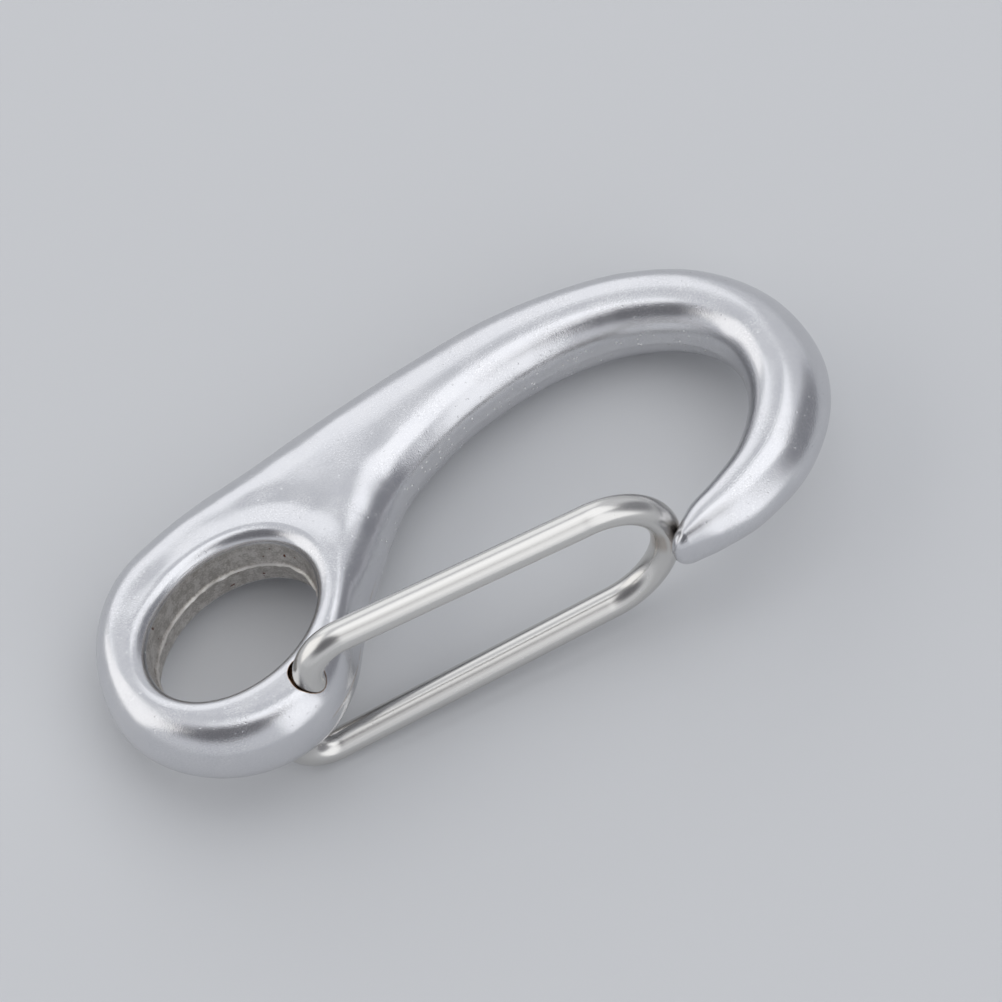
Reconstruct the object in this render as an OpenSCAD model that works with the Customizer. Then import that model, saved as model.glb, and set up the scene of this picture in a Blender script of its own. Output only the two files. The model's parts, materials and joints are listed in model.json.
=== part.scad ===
// Egg-shaped spring clip with a bent wire gate, laid on its side as it comes to rest.
// The casting is drawn flat first: X runs along the gate from its hinge to the nose,
// Y runs from the gate to the spine, and Z is the normal of the parting plane.

/* [Casting] */
// Length of the casting over the eye and the hook
clip_l = 51.3; // [49:0.1:54]
// Thickness of the spine, the web and the hook
cast_t = 5.5; // [5:0.1:6]
// Thickness of the rim round the eye
rim_t = 5.8; // [5.4:0.1:6.4]
// Long diameter of the oval eye
eye_l = 12.4; // [11:0.1:13]
// Short diameter of the oval eye
eye_w = 9.2; // [8:0.1:10]
// Turn of the oval's long diameter, in degrees from the gate
eye_turn = 25; // [15:1:35]
// Width of the rounding round the eye
lip_w = 1.2; // [1:0.1:1.4]
// Height of the eye's straight wall on each side of the parting plane
wall_h = 1.9; // [1.5:0.1:2.1]
// Length of the rounded nose tip
tip_l = 0.8; // [0.5:0.1:1]

/* [Wire gate] */
// Diameter of the gate's wire
wire_d = 2.0; // [1.8:0.1:2.1]
// Distance between the legs, centre to centre, where the loop begins
loop_w = 9.7; // [9.2:0.1:10.4]
// Distance from the hinge axis to the outside of the loop
gate_l = 26.8; // [26.4:0.1:26.8]
// Splay of each leg, in degrees
leg_splay = 2; // [1:0.5:3]
// Centreline radius of the two bends that lead into the feet
bend_r = 2.6; // [2.2:0.1:3]
// Distance between the two feet along the gate, which winds the wire up as it opens
foot_step = 2.4; // [1:0.1:2.4]
// Depth of a foot's end above the parting plane
foot_end = 0.9; // [0.6:0.1:1.5]
// Diameter of the holes drilled for the feet
foot_hole_d = 2.65; // [2.6:0.05:2.9]
// Angle through which the gate opens
open_angle = 28; // [10:1:28]

/* [Hidden] */
$fn = 48;

// ---- Plan of the casting ----
plan = clip_l / 51.3;
eye_c = plan * [-1.4, 6.85];
top_r = plan * 7.45;     // where the rim's flat top ends on the free side

// Free edge of the rim, from the bay round to the spine: [bearing, distance] from the eye's centre
rim_edge = [
    [-1, plan * 9.95], [-10, plan * 8.9], [-20, plan * 8.3], [-33, plan * 8.05], [-52, plan * 8.45],
    [-75, plan * 9.05], [-102, plan * 9.5], [-130, plan * 9.72], [-158, plan * 9.7],
    [-186, plan * 9.3], [-212, plan * 9.2], [-237, plan * 9.42], [-257, plan * 9.55],
    [-273, plan * 10.12], [-285, plan * 10.95]
];

// Stations along the web, spine and hook: [outer edge, inner edge, thickness factor]
stations = [
    [plan * [3.6, 17.83], plan * [9.9, 8.35], 0.98],
    [plan * [8.2, 18.67], plan * [12.7, 11.0], 0.97],
    [plan * [12.8, 19.43], plan * [15.8, 12.65], 0.97],
    [plan * [17.5, 20.07], plan * [19.1, 13.85], 0.97],
    [plan * [22.5, 20.4], plan * [22.9, 14.57], 0.98],
    [plan * [27.4, 19.97], plan * [26.7, 14.65], 0.99],
    [plan * [32.2, 18.75], plan * [30.2, 13.95], 1],
    [plan * [36.6, 16.2], plan * [33.3, 12.2], 1],
    [plan * [39.6, 12.1], plan * [35.0, 9.7], 1],
    [plan * [40.4, 7.2], plan * [35.05, 7.0], 0.99],
    [plan * [39.1, 2.9], plan * [34.0, 4.6], 0.96],
    [plan * [36.0, -0.55], plan * [32.0, 2.4], 0.91],
    [plan * [32.0, -2.45], plan * [29.6, 1.05], 0.83],
    [plan * [28.9, -2.8], plan * [27.7, 0.1], 0.69],
    [plan * [26.15, -2.5], plan * [26.0, -1.2], 0.46]
];

// ---- Section of the casting ----
outer_round = 3.1;       // width of the rounding towards the outer edge
inner_round = 1.9;       // width of the rounding towards the bay
outer_power = 2.15;      // 2 is an ellipse, more is squarer
inner_power = 2.8;
rim_round = 3.2;         // widest rounding of the rim's free edge
crown = 0.12;            // rise of the flat between the two roundings
groove = 0.28;           // depth of the groove between the rim and the web
groove_w = 2.5;
outer_steps = 6;
flat_steps = 8;
inner_steps = 6;
across_steps = outer_steps + flat_steps + inner_steps;
edge_steps = 3;
rim_steps = 7;
station_steps = 4;
tip_angles = [25, 46, 62];

// ---- Gate ----
wire_r = wire_d / 2;
foot_x = foot_step / 2;
loop_r = loop_w / 2;
loop_x = gate_l - wire_r - loop_r;
loop_start = [loop_x, 0] + loop_r * [-sin(leg_splay), cos(leg_splay)];
mark_h = 0.02;
mark_l = 0.2;
hole_rest = 0.3;         // depth of a hole beyond its foot's end
tilt = -0.8;             // slope along the gate at which the clip comes to rest

// Height of the centre of a foot's bend: the leg runs down from there to the loop
function bend_z(foot_at) =
    let (x = foot_at + bend_r + bend_r * sin(leg_splay))
    loop_start[1] + (loop_start[0] - x) * tan(leg_splay) - bend_r * cos(leg_splay);

rim_top = rim_t / 2;

// ---- Curves ----
// Smooth curve through b and c, where a and d are the next points outwards
function smooth(a, b, c, d, t) =
    b + 0.5 * t * (c - a)
    + t * t * (a - 2.5 * b + 2 * c - 0.5 * d)
    + t * t * t * (1.5 * (b - c) + 0.5 * (d - a));

function eye_radius(bearing) =
    let (a = eye_l / 2, b = eye_w / 2, t = bearing - eye_turn)
    a * b / sqrt(pow(b * cos(t), 2) + pow(a * sin(t), 2));

function on_bearing(bearing, r) = eye_c + r * [cos(bearing), sin(bearing)];

// ---- Section across the casting ----
// Points from the outer edge to the bay: [distance, full height, turn of the rounding, power]
function section(w, half_t) =
    let (e = min(outer_round, 0.5 * w), g = min(inner_round, 0.36 * w), f = w - e - g)
    concat(
        [for (k = [0 : outer_steps])
            let (a = 90 * k / outer_steps)
            [e * (1 - pow(cos(a), 2 / outer_power)), half_t, a, outer_power]],
        [for (k = [1 : flat_steps - 1])
            let (t = k / flat_steps)
            [e + f * t, half_t + crown * min(1, f / 4) * sin(180 * t), 90, outer_power]],
        [for (k = [inner_steps : -1 : 0])
            let (a = 90 * k / inner_steps)
            [w - g * (1 - pow(cos(a), 2 / inner_power)), half_t, a, inner_power]]
    );

function width(s) = norm(s[1] - s[0]);
function across(s, p) = s[0] + (s[1] - s[0]) * p[0] / width(s);

function cross_row(s) =
    [for (p = section(width(s), s[2] * cast_t / 2))
        let (q = across(s, p))
        [q[0], q[1], p[1] * pow(sin(p[2]), 2 / p[3])]];

main_rows = [for (s = stations) cross_row(s)];
main_last = len(main_rows) - 1;

function row(i) =
    i < 0 ? 2 * main_rows[0] - main_rows[1]
    : i > main_last ? 2 * main_rows[main_last] - main_rows[main_last - 1]
    : main_rows[i];

spine_rows = concat(
    [for (i = [0 : main_last - 1])
        let (a = row(i - 1), b = row(i), c = row(i + 1), d = row(i + 2))
        for (j = [0 : station_steps - 1])
            [for (k = [0 : across_steps]) smooth(a[k], b[k], c[k], d[k], j / station_steps)]],
    [row(main_last)]
);

// The nose closes with a short dome that ends in a small flat
tip_c = (stations[main_last][0] + stations[main_last][1]) / 2;
tip_from = (stations[main_last - 1][0] + stations[main_last - 1][1]) / 2;
tip_way = (tip_c - tip_from) / norm(tip_c - tip_from);

function tip_row(t) =
    let (c = [tip_c[0], tip_c[1], 0], way = [tip_way[0], tip_way[1], 0])
    [for (p = row(main_last)) c + way * tip_l * sin(t) + (p - c) * cos(t)];

all_rows = concat(spine_rows, [for (t = tip_angles) tip_row(t)]);

// ---- Rim round the eye: rays from the eye's centre ----
// 0 on the web's side of the eye and 1 on the free side
function free_share(turn) =
    let (t = min(1, max(0, 0.5 - 0.9 * cos(turn))))
    t * t * (3 - 2 * t);

// The rim's flat top is wide on the free side and narrow towards the web
function top_radius(bearing) =
    let (crest = eye_radius(bearing) + lip_w)
    crest + (top_r - crest) * free_share(bearing - 35);

function bearing_of(q) = atan2(q[1], q[0]);

// [bearing, distance, full height, turn of the rounding, power, its width] where each ray ends.
// The first rays end on the first station's row, where the web begins.
root = stations[0];
outer_normal = bearing_of(stations[1][0] - root[0]) + 90;
inner_normal = bearing_of(stations[1][1] - root[1]) - 90;
root_rays = [for (p = section(width(root), root[2] * cast_t / 2))
    let (
        q = across(root, p) - eye_c,
        b = bearing_of(q),
        spread = p[0] < width(root) / 2 ? outer_round / cos(b - outer_normal)
                                        : inner_round / cos(b - inner_normal)
    )
    [b, norm(q), p[1], p[2], p[3], spread]];
first_ray = root_rays[0];
last_ray = root_rays[across_steps];

knots = concat(
    [last_ray],
    [for (i = [0 : len(rim_edge) - 1])
        let (
            e = rim_edge[i],
            t = (i + 1) / (len(rim_edge) + 1),
            spread = min(e[1] - top_radius(e[0]), rim_round)
        )
        [e[0], e[1], rim_top, 0, inner_power + (outer_power - inner_power) * t, spread]],
    [first_ray - [360, 0, 0, 0, 0, 0]]
);
knot_last = len(knots) - 1;

function knot(i) =
    i < 0 ? 2 * knots[0] - knots[1]
    : i > knot_last ? 2 * knots[knot_last] - knots[knot_last - 1]
    : knots[i];

rays = concat(
    root_rays,
    [for (i = [0 : knot_last - 1]) for (j = [i == 0 ? 1 : 0 : edge_steps - 1])
        smooth(knot(i - 1), knot(i), knot(i + 1), knot(i + 2), j / edge_steps)]
);

// Profile of the eye's wall and its rounding: [distance out from the wall, height]
lip = [
    [0, 0],
    [0, wall_h],
    [0.06 * lip_w, wall_h + 0.45 * (rim_top - wall_h)],
    [0.28 * lip_w, wall_h + 0.78 * (rim_top - wall_h)],
    [0.62 * lip_w, rim_top - 0.03],
    [lip_w, rim_top]
];

function on_top(bearing, t) =
    let (
        crest = eye_radius(bearing) + lip_w,
        q = on_bearing(bearing, crest + (top_radius(bearing) - crest) * t)
    )
    [q[0], q[1], rim_top];

// From the flat top out along a ray: down to a free edge, or over a groove to the web
function shoulder(ray, t) =
    let (
        inside = top_radius(ray[0]),
        power = ray[4],
        reach = ray[1] - inside,
        run = reach * pow(sin(90 * t), 0.85),
        left = ray[5] * (1 - pow(cos(ray[3]), 2 / power)) + reach - run,
        fall = pow(1 - pow(max(0, 1 - left / ray[5]), power), 1 / power),
        near = min(1, run / groove_w),
        full = rim_top + (ray[2] - rim_top) * near * near * (3 - 2 * near),
        dip = groove * (1 - free_share(1.3 * (ray[0] - 20))) * pow(sin(180 * near), 2),
        q = on_bearing(ray[0], inside + run)
    )
    [q[0], q[1], (full - dip) * fall];

rim_rows = concat(
    [for (p = lip) [for (ray = rays)
        let (q = on_bearing(ray[0], eye_radius(ray[0]) + p[0])) [q[0], q[1], p[1]]]],
    [for (t = [0.5, 1]) [for (ray = rays) on_top(ray[0], t)]],
    [for (k = [1 : rim_steps]) [for (ray = rays) shoulder(ray, k / rim_steps)]]
);

// ---- Skin of the upper half, which is mirrored for the lower half ----
function flat_list(rows) = [for (r = rows) for (p = r) p];

rim_n = len(rays);
rim_points = flat_list(rim_rows);
row_n = across_steps + 1;
half_points = concat(rim_points, flat_list(all_rows));
half_n = len(half_points);
tip_start = half_n - row_n;

rim_faces = [for (j = [0 : len(rim_rows) - 2]) for (m = [0 : rim_n - 1])
    let (n = (m + 1) % rim_n)
    [j * rim_n + m, (j + 1) * rim_n + m, (j + 1) * rim_n + n, j * rim_n + n]];

spine_faces = [for (i = [0 : len(all_rows) - 2]) for (k = [0 : across_steps - 1])
    let (a = len(rim_points) + i * row_n + k, b = a + row_n)
    [a, b, b + 1, a + 1]];

tip_face = [for (k = [across_steps : -1 : 0]) tip_start + k];
half_faces = concat(rim_faces, spine_faces, [tip_face]);

function flipped(p) = [p[0], p[1], -p[2]];
function turned(f) = [for (i = [len(f) - 1 : -1 : 0]) f[i] + half_n];

skin_points = concat(half_points, [for (p = half_points) flipped(p)]);
skin_faces = concat(half_faces, [for (f = half_faces) turned(f)]);

// ---- Laying: the lower foot's bend and the casting's far side both touch the ground ----
// Tilted along the gate first and then rolled about it
function laid(p, roll) =
    let (
        x = p[0] * cos(tilt) + p[2] * sin(tilt),
        z = p[2] * cos(tilt) - p[0] * sin(tilt)
    )
    [x, p[1] * cos(roll) - z * sin(roll), p[1] * sin(roll) + z * cos(roll)];

low_bend = [bend_r - foot_x, 0, -bend_z(-foot_x)];
function ground(roll) = laid(low_bend, roll)[2] - bend_r * cos(roll) - wire_r - mark_h;
function lowest(roll) = min([for (p = skin_points) laid(p, roll)[2]]);

function find_roll(low, high, steps) =
    let (mid = (low + high) / 2)
    steps == 0 ? mid
    : lowest(mid) > ground(mid) ? find_roll(low, mid, steps - 1)
    : find_roll(mid, high, steps - 1);

roll = find_roll(-20, 0, 24);
laid_points = [for (p = skin_points) laid(p, roll)];
laid_x = [for (p = laid_points) p[0]];
laid_y = [for (p = laid_points) p[1]];
place = -[(min(laid_x) + max(laid_x)) / 2, (min(laid_y) + max(laid_y)) / 2, ground(roll)];

module lay() {
    translate(place) rotate([roll, 0, 0]) rotate([0, tilt, 0]) children();
}

// ---- Casting ----
module foot_hole(side) {
    mid = foot_x * [cos(open_angle / 2), sin(open_angle / 2)];
    bottom = foot_end - hole_rest;
    translate([side * mid[0], side * mid[1], side > 0 ? bottom : -rim_t])
        cylinder(d = foot_hole_d, h = rim_t - bottom);
}

module body() {
    color("silver") lay() difference() {
        polyhedron(points = skin_points, faces = skin_faces, convexity = 8);
        foot_hole(1);
        foot_hole(-1);
    }
}

// ---- Wire gate ----
// Round wire of the given length along +X
module straight(length) {
    rotate([0, 90, 0]) cylinder(d = wire_d, h = length);
}

// Wire bent on radius r about the origin, in the XZ plane, from bearing a through sweep
module bend(r, a, sweep) {
    rotate([90, 0, 0]) rotate([0, 0, a]) mirror([0, 0, 1])
        rotate_extrude(angle = sweep) translate([r, 0]) circle(d = wire_d);
}

// Faint ridge that the bending tool leaves round the wire where a bend meets a straight length
module bend_mark(at, lean) {
    translate([at[0], 0, at[1]]) rotate([0, 90 + lean, 0])
        cylinder(d = wire_d + 2 * mark_h, h = mark_l, center = true);
}

// Half of the gate above the parting plane: loop, leg, bend and the foot in its hole
module half_gate(foot_at) {
    bend_c = [foot_at + bend_r, bend_z(foot_at)];
    start = bend_c + bend_r * [sin(leg_splay), cos(leg_splay)];
    translate([loop_x, 0, 0]) bend(loop_r, 0, 90 + leg_splay);
    bend_mark(loop_start, leg_splay);
    translate([start[0], 0, start[1]])
        rotate([0, leg_splay, 0]) straight((loop_start[0] - start[0]) / cos(leg_splay));
    bend_mark(start, leg_splay);
    translate([bend_c[0], 0, bend_c[1]]) bend(bend_r, 90 - leg_splay, 90 + leg_splay);
    bend_mark([foot_at, bend_c[1]], 90);
    translate([foot_at, 0, foot_end]) cylinder(d = wire_d, h = bend_c[1] - foot_end);
}

// The upper foot stands towards the nose and the lower foot away from it
module wire_gate() {
    color("gainsboro") lay() {
        half_gate(foot_x);
        mirror([0, 0, 1]) half_gate(-foot_x);
        bend_mark([gate_l - wire_r, 0], 90);
    }
}

body();
wire_gate();
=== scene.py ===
# %% [markdown]
# # A dog tag clip
# The clip is two pieces: a small stainless casting, with an oval eye at one end and a hook at the other,
# and a gate bent from one length of round wire. The casting came out of a tumbling barrel with a satin
# skin; the wire was drawn through a die and is smoother and brighter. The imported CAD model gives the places
# and the joint, and this lesson rebuilds both pieces more finely around it.

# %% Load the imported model
import json
import math

import bmesh
import bpy
import numpy as np
from mathutils import Matrix, Vector, kdtree, noise

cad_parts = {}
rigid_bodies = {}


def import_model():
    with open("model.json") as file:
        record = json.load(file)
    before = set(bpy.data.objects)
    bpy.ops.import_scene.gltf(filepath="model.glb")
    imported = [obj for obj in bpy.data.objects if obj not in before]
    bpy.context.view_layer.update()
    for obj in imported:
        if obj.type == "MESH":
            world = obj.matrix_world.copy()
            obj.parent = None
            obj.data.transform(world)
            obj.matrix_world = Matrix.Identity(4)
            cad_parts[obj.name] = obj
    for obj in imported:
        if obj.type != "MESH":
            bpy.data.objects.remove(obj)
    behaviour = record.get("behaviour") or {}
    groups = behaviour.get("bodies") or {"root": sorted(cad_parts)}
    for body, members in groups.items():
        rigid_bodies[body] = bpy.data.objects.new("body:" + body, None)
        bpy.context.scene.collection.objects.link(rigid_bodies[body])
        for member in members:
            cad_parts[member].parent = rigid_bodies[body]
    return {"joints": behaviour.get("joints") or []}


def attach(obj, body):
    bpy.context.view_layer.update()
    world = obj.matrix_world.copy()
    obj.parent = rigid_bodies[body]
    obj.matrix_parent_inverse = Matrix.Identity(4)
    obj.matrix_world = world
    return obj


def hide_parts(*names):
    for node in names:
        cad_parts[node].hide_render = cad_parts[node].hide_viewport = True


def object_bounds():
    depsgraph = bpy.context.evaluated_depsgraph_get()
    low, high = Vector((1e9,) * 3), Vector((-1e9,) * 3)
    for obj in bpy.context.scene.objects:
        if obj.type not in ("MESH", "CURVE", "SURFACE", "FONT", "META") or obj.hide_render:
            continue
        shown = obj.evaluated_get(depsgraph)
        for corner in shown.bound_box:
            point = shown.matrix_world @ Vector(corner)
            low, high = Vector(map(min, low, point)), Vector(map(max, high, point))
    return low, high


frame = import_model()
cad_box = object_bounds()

print("CAD box in mm:", [[round(1000 * x, 2) for x in corner] for corner in cad_box])

# %% [markdown]
# ## Where the clip lies
# The clip lies a little rolled, on the far side of the casting and on the bend of the gate's lower foot.
# Its shapes are simplest while it is still flat, so each piece is modelled flat, in millimetres, with X
# along the gate, Y towards the spine and Z square to the parting plane, and is laid down at the end. The
# gate's hinge says how: its axis is the flat Z and its place is the flat origin.

# %% Read the lie of the clip from the gate's hinge
hinge = frame["joints"][0]
axis = Vector(hinge["axis"])
tilt = math.asin(axis.x)
roll = math.atan2(-axis.y, axis.z)
lay_down = (Matrix.Translation(Vector(hinge["pos_m"])) @ Matrix.Rotation(roll, 4, "X")
            @ Matrix.Rotation(tilt, 4, "Y") @ Matrix.Scale(0.001, 4))
print("tilt", round(math.degrees(tilt), 2), "roll", round(math.degrees(roll), 2))

# %% [markdown]
# ## Small helpers
# An operator acts on everything that is selected, so each piece starts with nothing selected. A finished
# piece has its place in its mesh and its object at the origin.

# %% Helpers for objects and edit mode
def select_only(*objects):
    for o in bpy.context.view_layer.objects:
        o.select_set(o in objects)
    bpy.context.view_layer.objects.active = objects[0] if objects else None


def in_edit_mode(piece, work):
    select_only(piece)
    bpy.ops.object.mode_set(mode="EDIT")
    bpy.ops.mesh.select_all(action="SELECT")
    work()
    bpy.ops.object.mode_set(mode="OBJECT")


def apply_modifier(piece, kind, **settings):
    select_only(piece)
    added = piece.modifiers.new(kind.title(), kind)
    for name, value in settings.items():
        setattr(added, name, value)
    bpy.ops.object.modifier_apply(modifier=added.name)


def points_of(piece):
    flat_list = np.zeros(3 * len(piece.data.vertices))
    piece.data.vertices.foreach_get("co", flat_list)
    return flat_list.reshape(-1, 3)


def normals_of(piece):
    flat_list = np.zeros(3 * len(piece.data.vertices))
    piece.data.vertex_normals.foreach_get("vector", flat_list)
    return flat_list.reshape(-1, 3)


def move_points(piece, points):
    piece.data.vertices.foreach_set("co", np.asarray(points, float).ravel())
    piece.data.update()


def remember(piece, name, values):
    """Give each point a value of its own, for the finish to read."""
    piece.data.attributes.new(name, "FLOAT", "POINT").data.foreach_set("value", values)


def weld(piece, distance=1e-4):
    def work():
        bpy.ops.mesh.remove_doubles(threshold=distance)
        bpy.ops.mesh.normals_make_consistent(inside=False)
    in_edit_mode(piece, work)


def sheet_of(name, rows):
    """A grid whose rows of points are moved onto the given curves."""
    rows = np.asarray(rows, float)
    select_only()
    down, across = rows.shape[:2]
    bpy.ops.mesh.primitive_grid_add(x_subdivisions=across - 1, y_subdivisions=down - 1, size=1)
    made = bpy.context.object
    made.name = made.data.name = name
    move_points(made, rows.reshape(-1, 3))
    return made


def smoothstep(t):
    t = np.clip(t, 0, 1)
    return t * t * (3 - 2 * t)


# %% [markdown]
# ## The casting: its plan
# The real casting was drawn as two smooth outlines and a few sections, then cast and tumbled. It is rebuilt
# the same way. Stations across the web, spine and hook give the outer edge, the inner edge and the
# thickness. Round the eye the free edge of the rim is a smooth curve of distances from the eye's centre. An
# extruded and bevelled box could not give the fair curves between them, so two grids are shaped by these
# rules instead.

# %% Plan and sections of the casting, in millimetres
EYE_CENTRE = np.array([-1.4, 6.85])
EYE_LONG, EYE_SHORT, EYE_TURN = 12.4, 9.2, 25            # an oval, turned towards the spine
WALL, LIP = 1.7, 1.35          # the eye's wall runs up to WALL, and then its lip rounds over a width of LIP
RIM_TOP, FLAT_TOP = 2.9, 7.45  # half the rim's thickness, and how far out its level top reaches
CAST_THICK = 5.5
OUTER_ROUND, INNER_ROUND = 3.2, 2.9      # widths of the roundings along the web, spine and hook
ROOT_ROUND, RIM_ROUND = 2.45, 3.3        # the same where the bay meets the rim, and on the rim itself
WIDEST_OUTER, WIDEST_INNER = 0.5, 0.42   # the most of a narrow section that a rounding may take
OUTER_POWER, INNER_POWER, LIP_POWER = 2.05, 2.15, 2.1    # 2 gives an ellipse, and more is squarer
CROWN = 0.12                   # the level part swells by this much
DRAFT = 0.1                    # lean of the eye's wall for each millimetre of height, to free the pattern
BAY_WALL = 0.4                 # share of rough wall towards the bay, which the barrel reached better

# Bearing in degrees and distance from the eye's centre
RIM_EDGE = [
    (-1, 9.87), (-10, 8.84), (-20, 8.3), (-33, 8.05), (-52, 8.45), (-75, 9.05), (-102, 9.5), (-130, 9.72),
    (-158, 9.7), (-186, 9.3), (-212, 9.2), (-237, 9.42), (-257, 9.55), (-273, 10.12), (-285, 10.95)]

# Outer point, inner point and share of the full thickness
STATIONS = [
    ((3.6, 17.83), (9.9, 8.35), 0.98), ((8.2, 18.67), (12.7, 11.0), 0.97),
    ((12.8, 19.43), (15.8, 12.65), 0.97), ((17.5, 20.07), (19.1, 13.85), 0.97),
    ((22.5, 20.4), (22.9, 14.57), 0.98), ((27.4, 19.97), (26.7, 14.65), 0.99),
    ((32.2, 18.75), (30.2, 13.95), 1), ((36.6, 16.2), (33.3, 12.2), 1),
    ((39.6, 12.1), (35.0, 9.7), 1), ((40.4, 7.2), (35.05, 7.0), 0.99), ((39.1, 2.9), (34.0, 4.6), 0.96),
    ((36.0, -0.55), (32.0, 2.4), 0.91), ((32.0, -2.45), (29.6, 1.05), 0.83),
    ((28.9, -2.85), (27.65, 0.17), 0.73), ((26.5, -2.72), (26.3, -0.98), 0.59)]

# Turns of the two roundings, close together near the parting plane, where the seam has to be sharp
OUTER_TURNS = [0, 1, 2.2, 3.6, 5.5, 8, 11.5, 16, 21, 27, 33, 40, 48, 56, 64, 72, 81, 90]
INNER_TURNS = [0, 0.2, 0.5, 0.9, 1.5, 2.6, 4.5, 8, 12, 17, 23, 30, 38, 46, 54, 62, 71, 80, 90]
FLAT_PARTS, STATION_PARTS, EDGE_PARTS = 14, 14, 12


def sin_of(degrees):
    return math.sin(math.radians(degrees))


def cos_of(degrees):
    return math.cos(math.radians(degrees))


def section(wide, half_thick, outer_power=OUTER_POWER, inner_round=INNER_ROUND):
    """Points across the casting, from the outer edge to the bay: distance, full height, turn of the rounding,
    its power and the share of rough wall."""
    outer, inner = min(OUTER_ROUND, WIDEST_OUTER * wide), min(inner_round, WIDEST_INNER * wide)
    level = wide - outer - inner
    rise = CROWN * min(1, level / 4)
    across = [(outer * (1 - cos_of(a) ** (2 / outer_power)), half_thick, a, outer_power, 0)
              for a in OUTER_TURNS]
    for k in range(1, FLAT_PARTS):
        t = k / FLAT_PARTS
        across.append((outer + level * t, half_thick + rise * sin_of(180 * t) ** 2, 90, outer_power, 0))
    for a in reversed(INNER_TURNS):
        across.append((wide - inner * (1 - cos_of(a) ** (2 / INNER_POWER)), half_thick, a, INNER_POWER,
                       BAY_WALL * float(smoothstep((38 - a) / 30))))
    return across


def fair(a, b, c, d, t):
    """A smooth curve through b and c, where a and d are the next points outwards."""
    return (b + 0.5 * t * (c - a) + t * t * (a - 2.5 * b + 2 * c - 0.5 * d)
            + t ** 3 * (1.5 * (b - c) + 0.5 * (d - a)))


def fair_through(knots, parts):
    """Rows of numbers made denser by a smooth curve through them; the last one is left out."""
    knots = [2 * knots[0] - knots[1]] + list(knots) + [2 * knots[-1] - knots[-2]]
    made = []
    for i in range(1, len(knots) - 2):
        made += [fair(*knots[i - 1:i + 3], j / parts) for j in range(parts)]
    return made


print(len(STATIONS), "stations and", len(RIM_EDGE), "points on the rim")

# %% [markdown]
# ## The web, spine, hook and nose
# Each station becomes a row of points over the top half of the section, and smooth curves join the rows, as
# a loft does. The outer flank of the hook is a little flatter than the rest, which leaves a soft ridge that
# fades at the nose. The nose closes with a short dome that ends in a small worn flat.

# %% Rows along the web, spine and hook
FLANK_POWER, FLANK_START, FLANK_RUN = 1.75, 6, 3         # after this station it grows over the next three
NOSE_FLANK = 0.6, -0.3                   # shares of it at the last two stations, where the nose rounds off
TIP, TIP_START, TIP_END = 1.75, 25, 75   # size of the dome, and the turns of it that the nose has
TIP_TURNS = [29, 34, 39, 45, 51, 57, 63, 68, 72]
TIP_FLAT = [(0.97, 0), (0.84, 0.008), (0.6, 0.014), (0.3, 0.018), (0, 0.02)]   # share of the width, way out


def cross_row(station, outer_power, inner_round):
    outer, inner = np.array(station[0]), np.array(station[1])
    wide = np.linalg.norm(inner - outer)
    half_thick = station[2] * CAST_THICK / 2
    row = []
    for distance, full, turn, power, wall in section(wide, half_thick, outer_power, inner_round):
        place = outer + (inner - outer) * distance / wide
        row.append((*place, full * sin_of(turn) ** (2 / power), wall))
    return np.array(row)


flank = smoothstep((np.arange(len(STATIONS)) - FLANK_START) / FLANK_RUN)
flank[-2:] = NOSE_FLANK
station_rows = [cross_row(s, OUTER_POWER + (FLANK_POWER - OUTER_POWER) * k, INNER_ROUND if i else ROOT_ROUND)
                for i, (s, k) in enumerate(zip(STATIONS, flank))]
spine_rows = fair_through(station_rows, STATION_PARTS) + [station_rows[-1]]

middles = [np.add(*map(np.array, s[:2])) / 2 for s in STATIONS[-2:]]
tip_way = np.append((middles[1] - middles[0]) / np.linalg.norm(middles[1] - middles[0]), [0, 0])
tip_centre = np.append(middles[1], [0, 0])


def tip_row(turn, size=1.0, out=0.0):
    """The last station's row, carried forward and drawn in as a dome."""
    from_centre = (station_rows[-1] - tip_centre) * [1, 1, 1, 0]
    forward = TIP * (sin_of(turn) - sin_of(TIP_START)) + out
    row = tip_centre + tip_way * forward + from_centre * cos_of(turn) / cos_of(TIP_START) * size
    row[:, 3] = station_rows[-1][:, 3]
    return row


tip_rows = [tip_row(t) for t in TIP_TURNS] + [tip_row(TIP_END, size, out) for size, out in TIP_FLAT]
strip_rows = np.array(spine_rows + tip_rows)
print("rows along the spine:", strip_rows.shape)

# %% [markdown]
# ## The rim round the eye
# The oval rim is a wheel of rays from the eye's centre. The first rays end on the first station, where the
# web begins, and the others on the rim's free edge. A turned ring could be cut and joined to the web
# instead, but its joint would show on a casting that has none.

# %% Rays round the eye
WEB_BEARING = 35               # where the web lies, seen from the eye's centre
AT_START, START_RUN = 1.3, 28  # how much wider the rounding is at each end, and over how many degrees
AT_END, END_BEARING, END_RUN = 0.45, -262, 24
FULL_TURN = np.array([360, 0, 0, 0, 0, 0, 0])


def eye_radius(bearing):
    a, b, t = EYE_LONG / 2, EYE_SHORT / 2, bearing - EYE_TURN
    return a * b / math.hypot(b * cos_of(t), a * sin_of(t))


def free_share(turn):
    """0 on the web's side of the eye and 1 on the free side."""
    return float(smoothstep(0.5 - 0.9 * cos_of(turn)))


def top_radius(bearing):
    crest = eye_radius(bearing) + LIP
    return crest + (FLAT_TOP - crest) * free_share(bearing - WEB_BEARING)


def bearing_of(way):
    return math.degrees(math.atan2(way[1], way[0]))


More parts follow.
